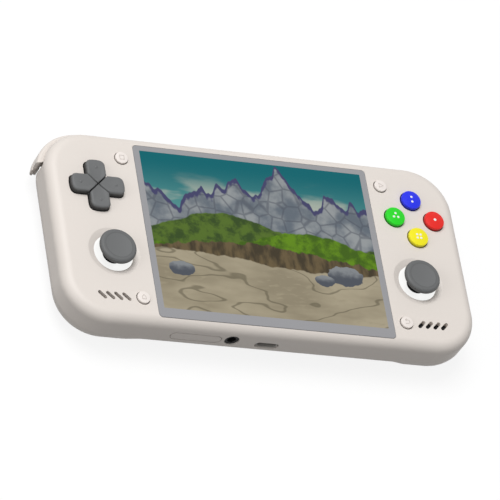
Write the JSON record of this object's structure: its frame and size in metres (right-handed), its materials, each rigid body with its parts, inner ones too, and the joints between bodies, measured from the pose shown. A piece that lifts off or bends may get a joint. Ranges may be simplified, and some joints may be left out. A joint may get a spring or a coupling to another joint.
{
  "type": "handheld game console",
  "caption": "Wide handheld game console with a central screen, direction pad, thumb sticks, coloured round buttons, shoulder keys and bottom-edge ports in a soft grey shell.",
  "frame": {"origin": "centre of the bounding box, on the surface that the grips lie on", "axes": "+X to the right of the screen, +Y to the top edge with the shoulder keys, +Z out of the screen"},
  "size_m": [0.179, 0.0872, 0.0249],
  "materials": {
    "shell": "soft satin, warm light grey",
    "small_key": "soft satin, light grey",
    "glass": "polished",
    "adhesive": "matt black",
    "panel": "gloss",
    "board": "green solder mask",
    "black_plastic": "matt black",
    "copper": "bare copper",
    "battery": "dark foil pouch",
    "steel": "plain",
    "ribbon": "amber film",
    "white_plastic": "milky white",
    "dark_key": "matt dark grey",
    "rubber": "matt",
    "blue": "satin gloss",
    "green": "satin gloss",
    "red": "satin gloss",
    "yellow": "satin gloss"
  },
  "bodies": {
    "console": {"front_shell": "shell", "back_shell": "shell", "screen_glass": "glass", "screen_tape": "adhesive", "display_panel": "panel", "main_board": "board", "processor": "black_plastic", "heat_spreader": "copper", "fan_housing": "black_plastic", "battery": "battery", "left_control_board": "board", "right_control_board": "board", "left_speaker": "black_plastic", "right_speaker": "black_plastic", "headphone_jack": "black_plastic", "usb_port": "steel", "card_socket": "steel", "case_screws": "steel", "board_screws": "steel", "ribbon_cables": "ribbon", "left_stick_housing": "steel", "right_stick_housing": "steel", "stick_switches": "black_plastic", "left_light_ring": "white_plastic", "right_light_ring": "white_plastic", "pad_membrane": "rubber", "button_membrane": "rubber", "small_button_pads": "rubber", "shoulder_pins": "steel", "shoulder_switches": "board", "top_key_board": "board"},
    "fan": {"fan_rotor": "black_plastic"},
    "card_cover": {"card_cover": "shell"},
    "pad_rocker": {"pad_rocker": "black_plastic"},
    "direction_pad": {"direction_pad": "dark_key"},
    "left_cradle": {"left_stick_cradle": "white_plastic"},
    "left_yoke": {"left_stick_yoke": "black_plastic"},
    "left_stick": {"left_stick_shaft": "black_plastic", "left_stick_cap": "dark_key"},
    "left_bumper": {"left_bumper": "shell"},
    "left_trigger": {"left_trigger": "shell"},
    "right_cradle": {"right_stick_cradle": "white_plastic"},
    "right_yoke": {"right_stick_yoke": "black_plastic"},
    "right_stick": {"right_stick_shaft": "black_plastic", "right_stick_cap": "dark_key"},
    "right_bumper": {"right_bumper": "shell"},
    "right_trigger": {"right_trigger": "shell"},
    "blue_button": {"blue_button": "blue"},
    "green_button": {"green_button": "green"},
    "red_button": {"red_button": "red"},
    "yellow_button": {"yellow_button": "yellow"},
    "select_button": {"select_button": "small_key"},
    "start_button": {"start_button": "small_key"},
    "home_button": {"home_button": "small_key"},
    "back_button": {"back_button": "small_key"},
    "power_button": {"power_button": "shell"},
    "volume_up_button": {"volume_up_button": "shell"},
    "volume_down_button": {"volume_down_button": "shell"}
  },
  "joints": [
    {"name": "left_stick_click", "type": "slide", "parent": "console", "child": "left_cradle", "axis": [0, 0, -1], "range_m": [0, 0.0004], "stiffness_N_per_m": 5000},
    {"name": "left_stick_tilt_x", "type": "hinge", "parent": "left_cradle", "child": "left_yoke", "pos_m": [-0.06505, -0.01285, 0.0115], "axis": [1, 0, 0], "range_deg": [-11, 11], "stiffness_Nm_per_rad": 0.025},
    {"name": "left_stick_tilt_y", "type": "hinge", "parent": "left_yoke", "child": "left_stick", "pos_m": [-0.06505, -0.01285, 0.0115], "axis": [0, 1, 0], "range_deg": [-11, 11], "stiffness_Nm_per_rad": 0.025},
    {"name": "right_stick_click", "type": "slide", "parent": "console", "child": "right_cradle", "axis": [0, 0, -1], "range_m": [0, 0.0004], "stiffness_N_per_m": 5000},
    {"name": "right_stick_tilt_x", "type": "hinge", "parent": "right_cradle", "child": "right_yoke", "pos_m": [0.06505, -0.01285, 0.0115], "axis": [1, 0, 0], "range_deg": [-11, 11], "stiffness_Nm_per_rad": 0.025},
    {"name": "right_stick_tilt_y", "type": "hinge", "parent": "right_yoke", "child": "right_stick", "pos_m": [0.06505, -0.01285, 0.0115], "axis": [0, 1, 0], "range_deg": [-11, 11], "stiffness_Nm_per_rad": 0.025},
    {"name": "pad_tilt_x", "type": "hinge", "parent": "console", "child": "pad_rocker", "pos_m": [-0.06845, 0.0163, 0.0163], "axis": [1, 0, 0], "range_deg": [-3.5, 3.5], "stiffness_Nm_per_rad": 0.15},
    {"name": "pad_tilt_y", "type": "hinge", "parent": "pad_rocker", "child": "direction_pad", "pos_m": [-0.06845, 0.0163, 0.0163], "axis": [0, 1, 0], "range_deg": [-3.5, 3.5], "stiffness_Nm_per_rad": 0.15},
    {"name": "blue_press", "type": "slide", "parent": "console", "child": "blue_button", "axis": [0, 0, -1], "range_m": [0, 0.001], "stiffness_N_per_m": 900},
    {"name": "green_press", "type": "slide", "parent": "console", "child": "green_button", "axis": [0, 0, -1], "range_m": [0, 0.001], "stiffness_N_per_m": 900},
    {"name": "red_press", "type": "slide", "parent": "console", "child": "red_button", "axis": [0, 0, -1], "range_m": [0, 0.001], "stiffness_N_per_m": 900},
    {"name": "yellow_press", "type": "slide", "parent": "console", "child": "yellow_button", "axis": [0, 0, -1], "range_m": [0, 0.001], "stiffness_N_per_m": 900},
    {"name": "select_press", "type": "slide", "parent": "console", "child": "select_button", "axis": [0, 0, -1], "range_m": [0, 0.0005], "stiffness_N_per_m": 1800},
    {"name": "start_press", "type": "slide", "parent": "console", "child": "start_button", "axis": [0, 0, -1], "range_m": [0, 0.0005], "stiffness_N_per_m": 1800},
    {"name": "home_press", "type": "slide", "parent": "console", "child": "home_button", "axis": [0, 0, -1], "range_m": [0, 0.0005], "stiffness_N_per_m": 1800},
    {"name": "back_press", "type": "slide", "parent": "console", "child": "back_button", "axis": [0, 0, -1], "range_m": [0, 0.0005], "stiffness_N_per_m": 1800},
    {"name": "left_bumper_press", "type": "hinge", "parent": "console", "child": "left_bumper", "pos_m": [-0.0504, 0.0368, 0.0125], "axis": [0, 0, 1], "range_deg": [0, 1.5], "stiffness_Nm_per_rad": 1.1},
    {"name": "left_trigger_press", "type": "hinge", "parent": "console", "child": "left_trigger", "pos_m": [-0.0504, 0.0368, 0.0074], "axis": [0, 0, 1], "range_deg": [0, 1.6], "stiffness_Nm_per_rad": 0.7},
    {"name": "right_bumper_press", "type": "hinge", "parent": "console", "child": "right_bumper", "pos_m": [0.0504, 0.0368, 0.0125], "axis": [0, 0, -1], "range_deg": [0, 1.5], "stiffness_Nm_per_rad": 1.1},
    {"name": "right_trigger_press", "type": "hinge", "parent": "console", "child": "right_trigger", "pos_m": [0.0504, 0.0368, 0.0074], "axis": [0, 0, -1], "range_deg": [0, 1.6], "stiffness_Nm_per_rad": 0.7},
    {"name": "power_press", "type": "slide", "parent": "console", "child": "power_button", "axis": [0, -1, 0], "range_m": [0, 0.0004], "stiffness_N_per_m": 3000},
    {"name": "volume_up_press", "type": "slide", "parent": "console", "child": "volume_up_button", "axis": [0, -1, 0], "range_m": [0, 0.0004], "stiffness_N_per_m": 3000},
    {"name": "volume_down_press", "type": "slide", "parent": "console", "child": "volume_down_button", "axis": [0, -1, 0], "range_m": [0, 0.0004], "stiffness_N_per_m": 3000},
    {"name": "card_cover_pull", "type": "slide", "parent": "console", "child": "card_cover", "axis": [0, -1, 0], "range_m": [0, 0.006]},
    {"name": "fan_spin", "type": "hinge", "parent": "console", "child": "fan", "pos_m": [0.029, 0.022, 0.0104], "axis": [0, 0, 1], "continuous": true}
  ]
}
